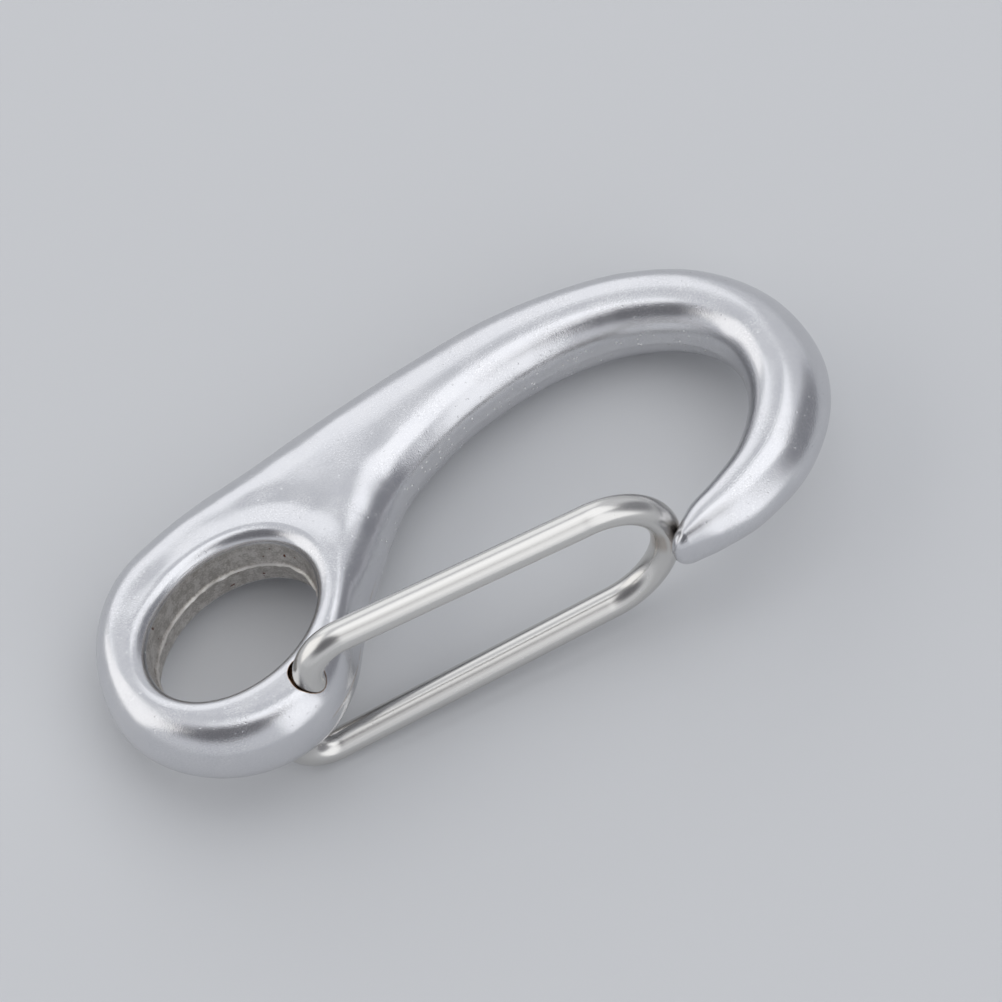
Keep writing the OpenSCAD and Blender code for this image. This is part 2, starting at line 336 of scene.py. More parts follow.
def root_rays():
    """Bearing, distance, full height, turn, power, width of the rounding and wall share of the first rays."""
    outer, inner, factor = np.array(STATIONS[0][0]), np.array(STATIONS[0][1]), STATIONS[0][2]
    outer_normal = bearing_of(np.array(STATIONS[1][0]) - outer) + 90
    inner_normal = bearing_of(np.array(STATIONS[1][1]) - inner) - 90
    wide = np.linalg.norm(inner - outer)
    rays = []
    for distance, full, turn, power, wall in section(wide, factor * CAST_THICK / 2, inner_round=ROOT_ROUND):
        way = outer + (inner - outer) * distance / wide - EYE_CENTRE
        bearing = bearing_of(way)
        spread = (OUTER_ROUND / cos_of(bearing - outer_normal) if distance < wide / 2
                  else ROOT_ROUND / cos_of(bearing - inner_normal))
        rays.append(np.array([bearing, np.linalg.norm(way), full, turn, power, spread, wall]))
    return rays


def rim_round(bearing):
    """Rounding of the rim's edge, wider where it runs into the web at both ends."""
    return RIM_ROUND + float(AT_END * smoothstep((END_BEARING - bearing) / END_RUN)
                             + AT_START * smoothstep((bearing + START_RUN) / START_RUN))


first_rays = root_rays()
knots = [first_rays[-1]]
for i, (bearing, distance) in enumerate(RIM_EDGE):
    power = INNER_POWER + (OUTER_POWER - INNER_POWER) * (i + 1) / (len(RIM_EDGE) + 1)
    spread = min(distance - top_radius(bearing), rim_round(bearing))
    wall = BAY_WALL * max(0, 1 - 0.5 * (i + 1))
    knots.append(np.array([bearing, distance, RIM_TOP, 0, power, spread, wall]))
knots.append(first_rays[0] - FULL_TURN)
rays = first_rays + fair_through(knots, EDGE_PARTS)[1:] + [first_rays[0] - FULL_TURN]
print(len(rays), "rays round the eye")

# %% [markdown]
# ## From the eye's wall to the edge
# Each ray climbs the eye's wall, goes over the rounded lip and the level top, and then falls to the rim's
# edge, or meets the first station of the web at that station's own height. The steps are closest where the
# surface turns fastest, so that the highlights run smoothly over them.

# %% Rows of points round the eye
WALL_HEIGHTS = [0, 0.05, 0.1, 0.15, 0.22, 0.32, 0.6, 1.0, 1.4, 1.7]
LIP_TURNS = [0, 6, 14, 23, 32, 42, 53, 65, 78, 90]
LEVEL_STEPS = [0.33, 0.67, 1]
SHOULDER_STEPS = [k / 20 for k in range(1, 18)] + [0.89, 0.925, 0.95, 0.965, 0.975, 0.983, 0.99, 1]
LEAST_LEVEL = 0.03             # the level top is never narrower than this


def on_ray(ray, distance, height, wall=0.0):
    x, y = EYE_CENTRE[0] + distance * cos_of(ray[0]), EYE_CENTRE[1] + distance * sin_of(ray[0])
    return (x, y, height, wall)


def level_part(bearing):
    return max(LEAST_LEVEL, top_radius(bearing) - eye_radius(bearing) - LIP)


def shoulder(ray, t):
    """A point on the way down, from the level top at t = 0 to the ray's end at t = 1."""
    inside, power = eye_radius(ray[0]) + LIP + level_part(ray[0]), ray[4]
    reach = ray[1] - inside
    run = reach * sin_of(90 * t) ** 0.85
    left = ray[5] * (1 - cos_of(ray[3]) ** (2 / power)) + reach - run
    fall = (1 - max(0, 1 - left / ray[5]) ** power) ** (1 / power)
    full = RIM_TOP + (ray[2] - RIM_TOP) * float(smoothstep(run / reach))
    return on_ray(ray, inside + run, full * fall, ray[6] * float(smoothstep((t - 0.6) / 0.25)))


rim_rows = [[on_ray(ray, eye_radius(ray[0]) + DRAFT * h, h, 1) for ray in rays] for h in WALL_HEIGHTS]
for turn in LIP_TURNS:
    out = DRAFT * WALL + (LIP - DRAFT * WALL) * (1 - cos_of(turn) ** (2 / LIP_POWER))
    up = WALL + (RIM_TOP - WALL) * sin_of(turn) ** (2 / LIP_POWER)
    wall = float(smoothstep((30 - turn) / 25))
    rim_rows.append([on_ray(ray, eye_radius(ray[0]) + out, up, wall) for ray in rays])
for t in LEVEL_STEPS:
    rim_rows.append([on_ray(ray, eye_radius(ray[0]) + LIP + t * level_part(ray[0]), RIM_TOP) for ray in rays])
for t in SHOULDER_STEPS:
    rim_rows.append([shoulder(ray, t) for ray in rays])
rim_rows = np.array(rim_rows)
rim_rows[:, -1] = rim_rows[:, 0]
print("rows round the eye:", rim_rows.shape)

# %% [markdown]
# ## The upper half
# Two grids take these rows and are joined and welded. The share of rough wall travels with the points as an
# attribute. The grids meet where the web begins, and the rows crowd together there, so slivers of faces are
# collapsed: too thin to see, they would still bend the shading.

# %% Join the two grids
SLIVER, EYE_SIDE = 0.008, 20   # the thinnest face kept, on the eye's side of this X


def with_wall(name, rows):
    made = sheet_of(name, rows[:, :, :3])
    remember(made, "inner_wall", rows[:, :, 3].ravel())
    return made


def select_by_the_eye(piece):
    """Select all points and edges on the eye's side, ready for edit mode."""
    in_edit_mode(piece, lambda: bpy.ops.mesh.select_all(action="DESELECT"))
    by_the_eye = points_of(piece)[:, 0] < EYE_SIDE
    ends = np.array([edge.vertices[:] for edge in piece.data.edges])
    piece.data.vertices.foreach_set("select", by_the_eye)
    piece.data.edges.foreach_set("select", by_the_eye[ends].all(axis=1))


casting = with_wall("casting", rim_rows)
spine = with_wall("spine", strip_rows)
select_only(casting, spine)
bpy.ops.object.join()
weld(casting, 2e-4)
select_by_the_eye(casting)
bpy.ops.object.mode_set(mode="EDIT")
bpy.ops.mesh.dissolve_degenerate(threshold=SLIVER)
bpy.ops.object.mode_set(mode="OBJECT")
print("upper half:", len(casting.data.vertices), "points")

# %% [markdown]
# ## One skin
# A pattern maker rubs filler into the corners of a pattern, so the web, spine and rim run into each other
# with no line between them. A Smooth modifier would leave a crease where rows crowd together. So each
# height is taken from a low dome fitted to the surface within reach, furthest where the web begins, and a
# second time at the two corners. A Mirror modifier then gives the half below the parting plane, as the
# mould's second half does.

# %% Even the heights and mirror the casting
CELL = 0.15                    # one point is taken from each cell of this size, however crowded the rows are
REACH, ROOT_REACH, CORNER_REACH = 0.7, 1.0, 0.9          # how far the filler reaches
CORNER_IN = 1.3                # how far inside each corner the second evening is centred


def round_the_eye(points):
    """How far each point stands from the eye's wall, and its bearing from the eye's centre."""
    from_eye = points[:, :2] - EYE_CENTRE
    bearings = np.degrees(np.arctan2(from_eye[:, 1], from_eye[:, 0]))
    return np.linalg.norm(from_eye, axis=1) - np.array([eye_radius(b) for b in bearings]), bearings


def even_heights(points, share, reach, usable):
    """Heights from a low dome fitted to what lies within reach, which leaves no line between two surfaces."""
    usable = np.nonzero(usable)[0]
    cells = np.round(points[usable, :2] / CELL)
    sample = usable[np.unique(cells, axis=0, return_index=True)[1]]
    tree = kdtree.KDTree(len(sample))
    for i in sample:
        tree.insert((points[i, 0], points[i, 1], 0), i)
    tree.balance()
    evened = points.copy()
    for i in np.nonzero(share > 0.02)[0]:
        near = np.array([n for _, n, _ in tree.find_range((points[i, 0], points[i, 1], 0), 1.9 * reach[i])])
        x, y = ((points[near, :2] - points[i, :2]) / reach[i]).T
        weight = np.exp(-(x * x + y * y) / 2)
        terms = np.stack([np.ones_like(x), x, y, x * x, x * y, y * y])
        sums = (terms * weight) @ terms.T + 1e-9 * np.eye(6)
        fitted = np.linalg.solve(sums, (terms * weight) @ points[near, 2])
        evened[i, 2] += share[i] * (fitted[0] - points[i, 2])
    return evened


points = points_of(casting)
x, y, z = points.T
from_wall, bearings = round_the_eye(points)
root_out, root_in = np.array(STATIONS[0][0]), np.array(STATIONS[0][1])
root_way = root_in - root_out
share = np.clip((points[:, :2] - root_out) @ root_way / (root_way @ root_way), 0, 1)
from_root = np.linalg.norm(points[:, :2] - root_out - share[:, None] * root_way, axis=1)
reach = REACH + ROOT_REACH * smoothstep((7 - from_root) / 4)
share = smoothstep((from_wall - 1.3) / 1.3) * smoothstep((z - 1.0) / 0.7)
share *= 1 - 0.8 * smoothstep((x - 24) / 2) * smoothstep((6 - y) / 6)          # the nose keeps its ridge
evened = even_heights(points, share, reach, (z > 0.7) & (from_wall > 1.0))

inwards = CORNER_IN * root_way / np.linalg.norm(root_way)
from_corner = np.minimum(np.linalg.norm(points[:, :2] - root_in + inwards, axis=1),
                         np.linalg.norm(points[:, :2] - root_out - inwards, axis=1))
share = smoothstep((3.4 - from_corner) / 1.6) * smoothstep((evened[:, 2] - 0.6) / 0.6)
evened = even_heights(evened, share, np.full(len(points), CORNER_REACH), evened[:, 2] > 0.4)
evened[(evened[:, 2] < SLIVER) & (x < EYE_SIDE), 2] = 0                       # back onto the parting plane
print("heights moved by up to", round(float(np.abs(evened - points).max()), 2), "mm")
move_points(casting, evened)

apply_modifier(casting, "MIRROR", use_axis=(False, False, True), use_mirror_merge=True, merge_threshold=1e-4)
weld(casting, 1e-4)
print("both halves:", len(casting.data.vertices), "points,", len(casting.data.polygons), "faces")

# %% [markdown]
# ## The valley round the eye
# On the web's side a shallow valley sets the rim off from the web, and fades out towards the free rim. It
# is a dent in the finished skin, so that it can run over the joint of the two grids.

# %% Sink the valley
VALLEY_DEEP, VALLEY_WIDE = 0.2, 1.1
VALLEY_MIDDLE, VALLEY_RUN = 78, (0.25, 0.5)              # it fades on both sides of this bearing
points = points_of(casting)
from_wall, bearings = round_the_eye(points)
bottom = 2.3 + 0.7 * np.cos(np.radians(2 * (bearings - 34)))         # from the eye's wall to its bottom
valley = VALLEY_DEEP * np.exp(-((from_wall - bottom) / VALLEY_WIDE) ** 2)
valley *= smoothstep((np.cos(np.radians(bearings - VALLEY_MIDDLE)) - VALLEY_RUN[0]) / VALLEY_RUN[1])
valley *= smoothstep((np.abs(points[:, 2]) - 0.8) / 1.2)
points[:, 2] -= np.sign(points[:, 2]) * valley
move_points(casting, points)
print("valley up to", round(float(valley.max()), 2), "mm deep")

# %% [markdown]
# ## The seam and the barrel's work
# The mould's two halves leave a thin raised seam where they met. The tumbling barrel wore it down outside,
# but could not reach the wall of the eye and the wall that faces the bay, so it stands higher there. The
# barrel also left the skin very slightly uneven. Both are real shapes, so the points themselves move along
# their normals.

# %% Raise the seam and roughen the skin
SEAM_INSIDE, SEAM_OUTSIDE, SEAM_WIDE = 0.17, 0.035, 0.2


def uneven(points, size, seed=0.0):
    """Smooth noise from -1 to 1 whose bumps are about size millimetres across."""
    return np.array([noise.noise(Vector(p) / size + Vector((seed, seed, seed))) for p in points])


points, normals = points_of(casting), normals_of(casting)
wall = np.zeros(len(points))
casting.data.attributes["inner_wall"].data.foreach_get("value", wall)
outward = normals * [1, 1, 0]
outward /= np.maximum(np.linalg.norm(outward, axis=1), 0.2)[:, None]

# The seam stands highest on rough walls, and there its height wanders
seam = np.clip(1 - np.abs(points[:, 2]) / SEAM_WIDE, 0, 1) ** 0.7
beside_gate = smoothstep(points[:, 0] - 0.8) * smoothstep(7 - points[:, 1]) * (points[:, 0] < 10)
height = SEAM_OUTSIDE * np.maximum(beside_gate, wall) + (SEAM_INSIDE - SEAM_OUTSIDE) * wall ** 2
height *= 1 + wall * (0.55 * uneven(points, 1.1) + 0.3 * uneven(points, 0.35, 5))

# The tumbled skin swells a little, and rough walls are lumpy
lumps = 0.035 * uneven(points, 0.9, 3) + 0.02 * uneven(points, 0.35, 7)
skin = 0.007 * uneven(points, 2.6, 9) + wall ** 2 * lumps
move_points(casting, points + outward * (seam * height)[:, None] + normals * skin[:, None])
remember(casting, "seam", seam * np.maximum(beside_gate, wall))
print("seam up to", round(float((seam * height).max()), 3), "mm")

# %% [markdown]
# ## The holes for the gate's feet
# Two blind holes are drilled in the rim, one from each face, a little apart. Deleting faces and pulling a
# wall inwards would follow the grid's lines and not the drill, so a Boolean cuts them.

# %% Drill the two foot holes
WIRE = 1.0                     # the wire's radius
FOOT_STEP, OPEN_ANGLE = 2.4, 28          # the feet stand this far apart, and the gate opens this far
FOOT_END, HOLE_REST = 0.9, 0.3           # height of the foot's end, and the room left below it
FOOT_X = FOOT_STEP / 2
HOLE_R, HOLE_SHIFT, SWING_SHIFT = 1.09, (-0.055, 0.06), (0.06, -0.05)
shut_place = np.array([FOOT_X + HOLE_SHIFT[0], HOLE_SHIFT[1]])
open_place = FOOT_X * np.array([cos_of(OPEN_ANGLE), sin_of(OPEN_ANGLE)]) + SWING_SHIFT


def drill(side):
    """A round bit that is moved sideways a little as it cuts, which leaves the foot room to swing."""
    depth, bottom = RIM_TOP + 1, FOOT_END - HOLE_REST
    start, swing = side * shut_place, side * (open_place - shut_place)
    select_only()
    bpy.ops.mesh.primitive_cylinder_add(vertices=96, radius=HOLE_R, depth=depth,
                                        location=(*start, side * (bottom + depth / 2)))
    bit = bpy.context.object
    select_only(bit)
    bpy.ops.object.transform_apply(location=True, rotation=True, scale=True)
    path = points_of(bit)
    ahead = (path[:, :2] - start) @ swing > 1e-6
    path[ahead, :2] += swing
    move_points(bit, path)
    apply_modifier(casting, "BOOLEAN", operation="DIFFERENCE", object=bit, solver="EXACT")
    bpy.data.objects.remove(bit)


def from_hole(points):
    """Distance in plan from the wall of the hole on the same face."""
    side = np.where(points[:, 2] > 0, 1, -1)[:, None]
    swing = open_place - shut_place
    reach = points[:, :2] * side - shut_place
    share = np.clip(reach @ swing / (swing @ swing), 0, 1)
    return np.linalg.norm(reach - share[:, None] * swing, axis=1) - HOLE_R


drill(1)
drill(-1)
print("holes drilled:", len(casting.data.vertices), "points")

# %% [markdown]
# ## The mouths of the holes
# The barrel took the sharp edge off each hole, and a small bevel does so here. Its edges are found by their
# sharp angle and their distance from the drilled wall. Points near a mouth remember it, because dirt
# gathers there.

# %% Soften the mouths of the holes
MOUTH_SHARP, MOUTH_BEVEL, DIRT_WIDE = 35, 0.05, 0.2      # degrees, and two widths in millimetres


def bevel_mouths():
    bpy.ops.mesh.select_all(action="DESELECT")
    work = bmesh.from_edit_mesh(casting.data)
    for edge in work.edges:
        if len(edge.link_faces) != 2 or edge.calc_face_angle(0) < math.radians(MOUTH_SHARP):
            continue
        ends = np.array([v.co for v in edge.verts])
        if np.abs(from_hole(ends)).max() < 0.01 and np.abs(ends[:, 2]).min() > 1.2:
            edge.select_set(True)
    bmesh.update_edit_mesh(casting.data)
    bpy.ops.mesh.bevel(offset=MOUTH_BEVEL, segments=3, profile=0.6, clamp_overlap=True)


in_edit_mode(casting, bevel_mouths)
points = points_of(casting)
near_hole = np.clip(1 - np.maximum(from_hole(points), 0) / DIRT_WIDE, 0, 1) * (np.abs(points[:, 2]) > 0.5)
remember(casting, "near_hole", near_hole)
print("after the bevel:", len(casting.data.vertices), "points")

# %% [markdown]
# ## The gate
# The real gate is one length of round wire: a foot, a bend, a leg, the loop, and the same again below. It
# is made in the same order here. A curve with a round bevel would be quicker, but its ends would need
# another step. So a ring the size of the wire starts at the upper foot's end, is extruded along the
# straight lengths and spun round the bends, and nothing has to be joined.

# %% Bend the gate's wire
LOOP_WIDE, GATE_LONG, SPLAY, BEND = 9.7, 26.8, 2, 2.6    # the legs splay by 2 degrees each
CHAMFER, CHAMFER_LONG = 0.82, 0.1        # share of the width left at a cut end, and over what length
LOOP_R = LOOP_WIDE / 2
LOOP_X = GATE_LONG - WIRE - LOOP_R
loop_start = Vector((LOOP_X - LOOP_R * sin_of(SPLAY), 0, LOOP_R * cos_of(SPLAY)))


def bend_height(foot_at):
    """Height of the middle of the bend above a foot, so that the leg meets the loop."""
    x = foot_at + BEND + BEND * sin_of(SPLAY)
    return loop_start.z + (loop_start.x - x) * math.tan(math.radians(SPLAY)) - BEND * cos_of(SPLAY)


def run_straight(way, parts):
    for _ in range(parts):
        bpy.ops.mesh.extrude_region_move(TRANSFORM_OT_translate={"value": tuple(Vector(way) / parts)})


def run_bend(centre, sweep, parts):
    bpy.ops.mesh.spin(steps=parts, angle=-math.radians(sweep), center=centre, axis=(0, 1, 0))


def shrink_ring(factor):
    bpy.ops.transform.resize(value=(factor, factor, factor))


upper = Vector((FOOT_X + BEND, 0, bend_height(FOOT_X)))
lower = Vector((-FOOT_X + BEND, 0, -bend_height(-FOOT_X)))
leg_start = upper + BEND * Vector((sin_of(SPLAY), 0, cos_of(SPLAY)))
leg_end = lower + BEND * Vector((sin_of(SPLAY), 0, -cos_of(SPLAY)))
loop_end = Vector((loop_start.x, 0, -loop_start.z))


def bend_the_wire():
    shrink_ring(CHAMFER)
    bpy.ops.mesh.edge_face_add()
    run_straight((0, 0, CHAMFER_LONG), 1)
    shrink_ring(1 / CHAMFER)
    run_straight((0, 0, upper.z - FOOT_END - CHAMFER_LONG), 24)
    run_bend(upper, 90 + SPLAY, 40)
    run_straight(loop_start - leg_start, 80)
    run_bend((LOOP_X, 0, 0), 2 * (90 + SPLAY), 96)
    run_straight(leg_end - loop_end, 80)
    run_bend(lower, 90 + SPLAY, 40)
    run_straight((0, 0, -FOOT_END - CHAMFER_LONG - lower.z), 24)
    run_straight((0, 0, CHAMFER_LONG), 1)
    shrink_ring(CHAMFER)


select_only()
bpy.ops.mesh.primitive_circle_add(vertices=48, radius=WIRE, fill_type="NOTHING",
                                  location=(FOOT_X, 0, FOOT_END))
gate = bpy.context.object
gate.name = gate.data.name = "gate_wire"
select_only(gate)
bpy.ops.object.transform_apply(location=True)
in_edit_mode(gate, bend_the_wire)
weld(gate)
low, high = points_of(gate).min(0), points_of(gate).max(0)
print("gate from", np.round(low, 2), "to", np.round(high, 2), len(gate.data.polygons), "faces")

# %% [markdown]
# ## Where each point sits on the wire
# Drawing leaves fine lines along a wire. For the finish to follow them round every bend, each point
# remembers its place on the wire: two numbers for where it is round the section, and one for how far along
# it lies. Two numbers round the section, and not one angle, leave no seam.

# %% Measure along and round the wire
STEP = 0.05                    # length between two points of the middle line


def arc(centre, radius, start, sweep):
    count = max(2, int(abs(math.radians(sweep)) * radius / STEP))
    return [Vector((centre[0] + radius * cos_of(start - sweep * k / count), 0,
                    centre[2] + radius * sin_of(start - sweep * k / count))) for k in range(count)]


def line(start, end):
    count = max(2, int((end - start).length / STEP))
    return [start.lerp(end, k / count) for k in range(count)]


upper_foot = Vector((FOOT_X, 0, FOOT_END))
lower_foot = Vector((-FOOT_X, 0, -FOOT_END))
middle_line = (line(upper_foot, Vector((FOOT_X, 0, upper.z))) + arc(upper, BEND, 180, 90 + SPLAY)
               + line(leg_start, loop_start) + arc((LOOP_X, 0, 0), LOOP_R, 90 + SPLAY, 180 + 2 * SPLAY)
               + line(loop_end, leg_end) + arc(lower, BEND, -90 + SPLAY, 90 + SPLAY)
               + line(Vector((-FOOT_X, 0, lower.z)), lower_foot) + [lower_foot])
tree = kdtree.KDTree(len(middle_line))
along = [0.0]
for i, place in enumerate(middle_line):
    tree.insert(place, i)
    if i:
        along.append(along[-1] + (place - middle_line[i - 1]).length)
tree.balance()

ways = []
for point in points_of(gate):
    near, i, _ = tree.find(point)
    tangent = (middle_line[min(i + 1, len(middle_line) - 1)] - middle_line[max(i - 1, 0)]).normalized()
    offset = Vector(point) - near
    ways.append((offset.dot(tangent.cross(Vector((0, 1, 0)))), offset.y, along[i] + offset.dot(tangent)))
ways = np.array(ways)
gate.data.attributes.new("wire_way", "FLOAT_VECTOR", "POINT").data.foreach_set("vector", ways.ravel())
print("length of the wire:", round(along[-1], 1), "mm")

# %% [markdown]
# ## Laying the pieces down
# Both pieces are laid as the clip rests, in metres. Turning the objects would be shorter, but a finished
# object stays unturned at the origin, so the meshes are moved. They are shaded smooth but for their real
# edges.

# %% Lay the casting and the gate
CASTING_EDGE, WIRE_EDGE = 50, 40         # degrees from which an edge stays sharp
for piece, angle in ((casting, CASTING_EDGE), (gate, WIRE_EDGE)):
    piece.data.transform(lay_down)
    select_only(piece)
    bpy.ops.object.shade_smooth_by_angle(angle=math.radians(angle))
    print(piece.name, [round(1000 * x, 2) for x in piece.dimensions])

# %% [markdown]
# ## Helpers for materials
# A material is a sum: how rough, how dark, how high at each point. The small class below lets such a sum be
# written as one, and its one method adds any other node.

# %% Write node maths as sums
class Signal:
    """An output socket that can be added and multiplied like a number."""

    def __init__(self, graph, socket):
        self.graph, self.socket = graph, socket

    def maths(self, operation, other, swapped=False):
        first, second = (other, self) if swapped else (self, other)
        return self.graph.make("ShaderNodeMath", {"operation": operation}, {0: first, 1: second})

    def __add__(self, other):
        return self.maths("ADD", other)

    def __sub__(self, other):
        return self.maths("SUBTRACT", other)

    def __rsub__(self, other):
        return self.maths("SUBTRACT", other, swapped=True)

    def __mul__(self, other):
        return self.maths("MULTIPLY", other)

    __radd__, __rmul__ = __add__, __mul__


class Graph:
    """The nodes of one material or of the world."""

    def __init__(self, owner):
        owner.use_nodes = True
        self.owner, self.tree = owner, owner.node_tree
        self.tree.nodes.clear()

    def make(self, kind, settings=None, inputs=None, output=0):
        node = self.tree.nodes.new(kind)
        for name, value in (settings or {}).items():
            setattr(node, name, value)
        for name, value in (inputs or {}).items():
            if isinstance(value, Signal):
                self.tree.links.new(value.socket, node.inputs[name])
            else:
                node.inputs[name].default_value = value
        return Signal(self, node.outputs[output] if node.outputs else None)

    def noise(self, place, size, detail=2.0, rough=0.5):
        """Smooth noise from 0 to 1 whose features are about size units across."""
        return self.make("ShaderNodeTexNoise", {}, {"Vector": place, "Scale": 1 / size, "Detail": detail,
                                                    "Roughness": rough})

    def between(self, value, low, high):
        """0 below low, 1 above high and smooth between them."""
        return self.make("ShaderNodeMapRange", {"interpolation_type": "SMOOTHSTEP"},
                         {"Value": value, "From Min": low, "From Max": high})

    def blend(self, share, first, second):
        """A colour from first at share 0 to second at share 1."""
        return self.make("ShaderNodeMix", {"data_type": "RGBA"}, {"Factor": share, 6: first, 7: second}, 2)

    def bump(self, height, normal=None):
        """Height is in metres."""
        links = {"Height": height, "Distance": 1.0, "Strength": 1.0}
        if normal:
            links["Normal"] = normal
        return self.make("ShaderNodeBump", {}, links)

    def surface(self, **inputs):
        sockets = {name.replace("_", " "): value for name, value in inputs.items()}
        shader = self.make("ShaderNodeBsdfPrincipled", {}, sockets)
        self.make("ShaderNodeOutputMaterial", {}, {"Surface": shader})


# %% [markdown]
# ## The finish of the casting
# Tumbled stainless steel is a grey metal with a satin skin. Seen close, it has a very fine grain, a soft
# unevenness that makes reflections swim, and scattered pits left from casting; on the walls the pits are
# painted white as glints, where they catch the light as specks. Where the barrel could not reach, on the wall
# of the eye and of the bay, the skin is rougher and darker, with a few rusty specks. Noise of the right size
# in millimetres gives each of these, and the pits come from a cell pattern, whose cells have a middle.

# %% What the casting's skin has on it
MM = 0.001
cast_steel = Graph(bpy.data.materials.new("satin_cast_steel"))
place = cast_steel.make("ShaderNodeTexCoord", output=3)
wall = cast_steel.make("ShaderNodeAttribute", {"attribute_name": "inner_wall"}, output=2)
near_hole = cast_steel.make("ShaderNodeAttribute", {"attribute_name": "near_hole"}, output=2)
seam = cast_steel.make("ShaderNodeAttribute", {"attribute_name": "seam"}, output=2)
rough_wall = cast_steel.between(wall, 0.3, 0.95)
grain = cast_steel.noise(place, 0.1 * MM, 2)
cloud = cast_steel.noise(place, 1.6 * MM, 3)
swim = cast_steel.noise(place, 0.7 * MM, 2)
crust = cast_steel.noise(place, 0.13 * MM, 3)
patches = 0.35 + 0.65 * cast_steel.between(cast_steel.noise(place, 3 * MM, 2), 0.4, 0.6)
pits = cast_steel.make("ShaderNodeTexVoronoi", {}, {"Vector": place, "Scale": 1 / (0.45 * MM)})
pitted = cast_steel.between(cast_steel.noise(place, 0.8 * MM, 2) + 0.3 * wall, 0.53, 0.58)
pit = (1 - cast_steel.between(pits, 0.10, 0.20)) * pitted
# Pits on the walls are painted white: a painted glint where they catch the light as specks.
painted_pit_glint = pit * cast_steel.between(wall, 0.08, 0.3)
rust_speck = cast_steel.between(cast_steel.noise(place, 0.5 * MM, 3), 0.69, 0.73) * rough_wall
warm_line = cast_steel.between(seam, 0.55, 0.8) * (1 - cast_steel.between(wall, 0.02, 0.2))
print(len(cast_steel.tree.nodes), "nodes for the skin")

# %% [markdown]
# ## The casting's colour and shine
# The colours are laid over each other as they would build up: clean steel, its grain, the pits with their
# painted white glints, the rough walls with their paler seam, the warm worn line of the seam beside the
# gate, rust, and dirt round the holes.

# %% Satin cast steel
STEEL_DARK, STEEL_LIGHT = (0.62, 0.625, 0.65, 1), (0.69, 0.69, 0.705, 1)
# The last of these is the white painted onto pits on the walls as their glint.
GRAIN_DARK, GRAIN_LIGHT, PAINTED_GLINT_WHITE = (0.42, 0.42, 0.44, 1), (0.95, 0.95, 0.95, 1), (1, 1, 0.99, 1)
WALL_DARK, WALL_LIGHT, SEAM_PALE = (0.46, 0.435, 0.405, 1), (0.69, 0.665, 0.635, 1), (0.80, 0.78, 0.75, 1)
SEAM_WARM, RUST, DIRT = (0.46, 0.33, 0.21, 1), (0.16, 0.06, 0.035, 1), (0.42, 0.29, 0.20, 1)
steel = cast_steel.blend(cloud, STEEL_DARK, STEEL_LIGHT)
steel = cast_steel.blend(0.3 * patches * cast_steel.between(grain, 0.52, 0.72), steel, GRAIN_LIGHT)
steel = cast_steel.blend(0.22 * patches * cast_steel.between(grain, 0.48, 0.28), steel, GRAIN_DARK)
steel = cast_steel.blend(painted_pit_glint, steel, PAINTED_GLINT_WHITE)
walls = cast_steel.blend(cast_steel.between(0.5 * crust + 0.5 * swim, 0.38, 0.62), WALL_DARK, WALL_LIGHT)
walls = cast_steel.blend(cast_steel.between(seam, 0.3, 0.7), walls, SEAM_PALE)
steel = cast_steel.blend(rough_wall, steel, walls)
steel = cast_steel.blend(0.4 * warm_line * cast_steel.between(swim, 0.3, 0.5), steel, SEAM_WARM)
steel = cast_steel.blend(rust_speck, steel, RUST)
steel = cast_steel.blend(cast_steel.between(near_hole, 0.7, 1.0), steel, DIRT)
height = 0.009 * MM * grain * patches + 0.004 * MM * swim - 0.009 * MM * pit + 0.02 * MM * rough_wall * crust
dullness = 0.165 + 0.04 * cloud + 0.05 * patches + 0.04 * grain + 0.2 * rough_wall + 0.35 * painted_pit_glint
cast_steel.surface(Base_Color=steel, Metallic=1.0, Roughness=dullness, Normal=cast_steel.bump(height))
print(len(cast_steel.tree.nodes), "nodes in", cast_steel.owner.name)

# %% [markdown]
# ## The finish of the gate
# The gate's wire is brighter. Its fine lines run along it, so the noise is stretched along the wire, and
# small scuffs cross it here and there. Near its end the loop is painted a dark brown where it rubs on and
# meets the nose: partly a rub stain, partly painted shadow between the loop and the nose. A pattern on
# Object coordinates would cut straight across the bends, so this one reads the place that each point
# remembers.

# %% Drawn wire
# The last colour is a brown rub stain, darkened to paint the shadow where the loop meets the nose.
WIRE_DARK, WIRE_LIGHT, RUB_BROWN_AND_SHADOW = (0.63, 0.62, 0.60, 1), (0.69, 0.68, 0.66, 1), (0.34, 0.26, 0.19, 1)
STRETCH = (1, 1, 0.02)         # the lines are fifty times as long as they are wide
wire_steel = Graph(bpy.data.materials.new("drawn_wire"))
way = wire_steel.make("ShaderNodeAttribute", {"attribute_name": "wire_way"}, output=1)
stretched = wire_steel.make("ShaderNodeVectorMath", {"operation": "MULTIPLY"}, {0: way, 1: STRETCH})
lines = wire_steel.noise(stretched, 0.12, 2)
broad = wire_steel.noise(stretched, 0.5, 1)
scuffs = wire_steel.between(wire_steel.noise(way, 0.25, 2), 0.68, 0.78)
along_wire = wire_steel.make("ShaderNodeSeparateXYZ", {}, {0: way}, 2)
half_way = along[-1] / 2
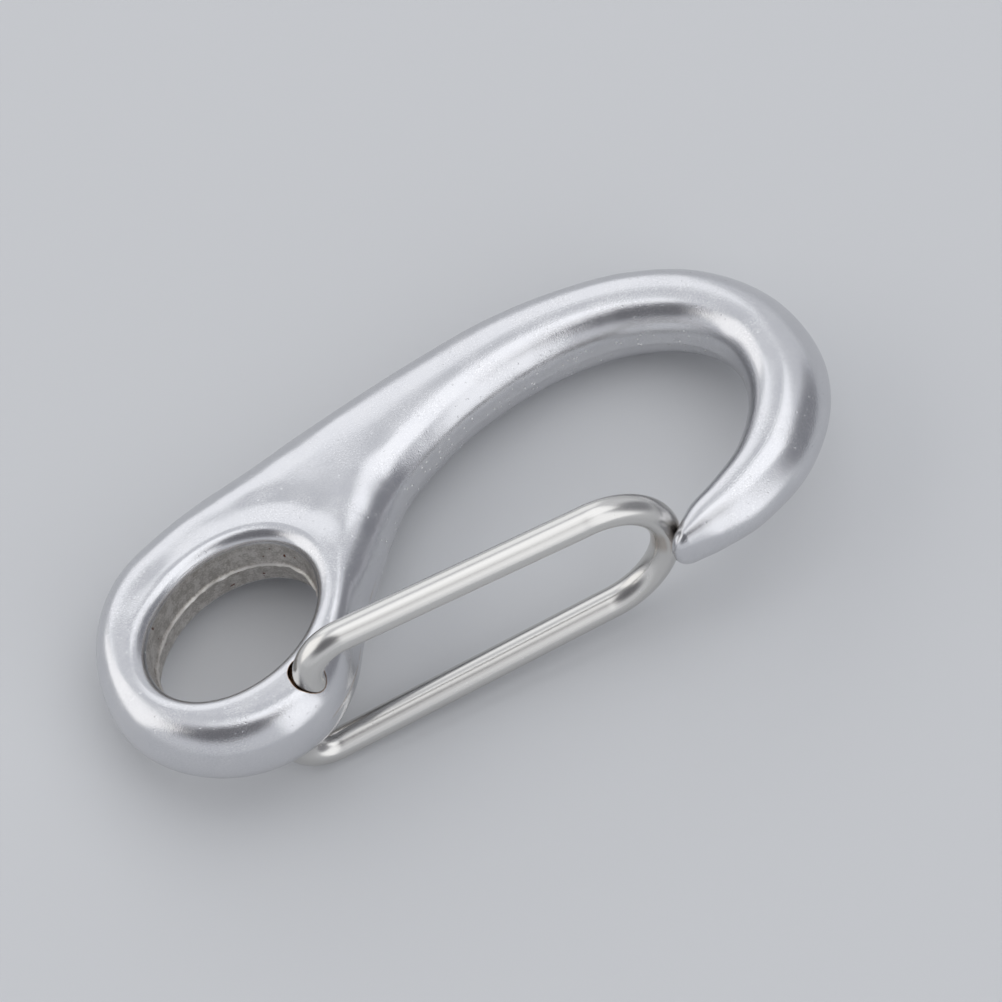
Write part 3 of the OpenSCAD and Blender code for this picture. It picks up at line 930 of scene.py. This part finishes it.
# Towards the loop's end, where it meets the nose: a rub stain with painted shadow between loop and nose.
rub_stain_and_shadow = (wire_steel.between(along_wire, half_way - 2.9, half_way - 1.7)
          * wire_steel.between(along_wire, half_way + 0.3, half_way - 0.7)
          * wire_steel.between(broad, 0.3, 0.6))
steel = wire_steel.blend(0.45 * rub_stain_and_shadow, wire_steel.blend(lines, WIRE_DARK, WIRE_LIGHT), RUB_BROWN_AND_SHADOW)
height = 0.00012 * MM * lines - 0.001 * MM * scuffs
dullness = 0.21 + 0.05 * broad + 0.05 * scuffs
wire_steel.surface(Base_Color=steel, Metallic=1.0, Roughness=dullness, Normal=wire_steel.bump(height))
print(len(wire_steel.tree.nodes), "nodes in", wire_steel.owner.name)

# %% [markdown]
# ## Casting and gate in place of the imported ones
# Each finished piece takes its material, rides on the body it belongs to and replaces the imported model's
# node.

# %% Put the finishes on
for piece, finish, body, node, slot in ((casting, cast_steel, "casting", "body", "cast_steel"),
                                        (gate, wire_steel, "gate", "wire_gate", "wire_steel")):
    piece.data.materials.clear()
    piece.data.materials.append(finish.owner)
    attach(piece, body)
    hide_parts(node)
    print(piece.name, "replaces", node, "and wears", finish.owner.name)

# %% [markdown]
# ## The floor
# The clip lies on a plain pale floor. It stops far outside the view, so that no edge of it shows.

# %% Floor
FLOOR_SIZE, FLOOR_PALE = 6, (0.65, 0.66, 0.675, 1)
select_only()
bpy.ops.mesh.primitive_plane_add(size=FLOOR_SIZE, location=(0, 0, 0))
floor = bpy.context.object
floor.name = "floor"
pale = Graph(bpy.data.materials.new("pale_floor"))
pale.surface(Base_Color=FLOOR_PALE, Roughness=0.8)
floor.data.materials.append(pale.owner)
print("floor", FLOOR_SIZE, "m wide")

# %% [markdown]
# ## The light
# Metal shows what is round it, so the light is made of a few broad soft lamps with a darker room between
# them. A lamp does not hide the room behind it: the two add up where a piece of steel mirrors both. So each
# lamp is only as bright as its part of the room lacks.

# %% Soft lamps
low_corner, high_corner = cad_box
middle = (low_corner + high_corner) / 2


def soft_lamp(name, way, wide, high, brightness, colour=(1, 1, 1), away=0.6):
    """A broad lamp whose face has this brightness, in the direction way from the clip."""
    lamp = bpy.data.objects.new(name, bpy.data.lights.new(name, "AREA"))
    lamp.data.shape = "RECTANGLE"
    lamp.data.size, lamp.data.size_y = wide, high
    lamp.data.color = colour
    lamp.data.energy = brightness * math.pi * wide * high
    way = Vector(way).normalized()
    lamp.location = middle + way * away
    lamp.rotation_mode = "QUATERNION"
    lamp.rotation_quaternion = way.to_track_quat("Z", "Y")
    lamp.visible_camera = False
    bpy.context.scene.collection.objects.link(lamp)
    print(name, "adds", brightness)


def toward(azimuth, elevation):
    level = cos_of(elevation)
    return Vector((cos_of(azimuth) * level, sin_of(azimuth) * level, sin_of(elevation)))


soft_lamp("lamp_above", toward(25, 73), 0.58, 0.56, 0.70)
soft_lamp("lamp_back", toward(88, 20), 0.50, 0.40, 0.50)
soft_lamp("lamp_left", toward(150, 24), 0.66, 0.62, 0.62, (1, 0.97, 0.92))
soft_lamp("lamp_right", toward(-64, 30), 0.40, 0.80, 0.60)

# %% [markdown]
# ## The room
# The room is one pale colour with two darker parts, low on the right and high up beside the camera. They
# give the steel its dark bands. A background colour by direction does this without walls that would shade
# the floor.

# %% The room
ROOM, ROOM_RIGHT, ROOM_FRONT = (0.70, 0.715, 0.75, 1), (0.27, 0.275, 0.30, 1), (0.17, 0.17, 0.185, 1)
world = bpy.data.worlds.new("room")
bpy.context.scene.world = world
room = Graph(world)
way = room.make("ShaderNodeTexCoord")
at_front = room.make("ShaderNodeVectorMath", {"operation": "DOT_PRODUCT"}, {0: way, 1: toward(-138, 58)}, 1)
at_right = room.make("ShaderNodeVectorMath", {"operation": "DOT_PRODUCT"}, {0: way, 1: toward(-10, 18)}, 1)
tint = room.blend(room.between(at_right, 0.80, 0.96), ROOM, ROOM_RIGHT)
tint = room.blend(room.between(at_front, 0.74, 0.95), tint, ROOM_FRONT)
shade = room.make("ShaderNodeBackground", {}, {"Color": tint, "Strength": 1.0})
room.make("ShaderNodeOutputWorld", {}, {"Surface": shade})
print(len(room.tree.nodes), "nodes in the room")

# %% [markdown]
# ## The camera
# The camera looks down on the clip from the gate's side, turned a little. The long lens keeps the eye and
# the hook at one scale, though one is nearer.

# %% Camera
AZIMUTH, ELEVATION, CAMERA_ROLL, AWAY, LENS = -106.967, 67.565, -9.909, 0.4, 226.42
FRAMING = Vector((2.39, -2.71, 2.23)) * MM               # from the clip's middle to the view's
back = toward(AZIMUTH, ELEVATION)
camera = bpy.data.objects.new("camera", bpy.data.cameras.new("camera"))
camera.data.lens = LENS
camera.location = middle + FRAMING + back * AWAY
camera.rotation_mode = "QUATERNION"
camera.rotation_quaternion = (back.to_track_quat("Z", "Y")
                              @ Matrix.Rotation(math.radians(CAMERA_ROLL), 4, "Z").to_quaternion())
camera.data.clip_start, camera.data.clip_end = 0.01, 20
bpy.context.scene.collection.objects.link(camera)
bpy.context.scene.camera = camera
bpy.context.scene.view_settings.view_transform = "Standard"
print("camera at", [round(c, 3) for c in camera.location])
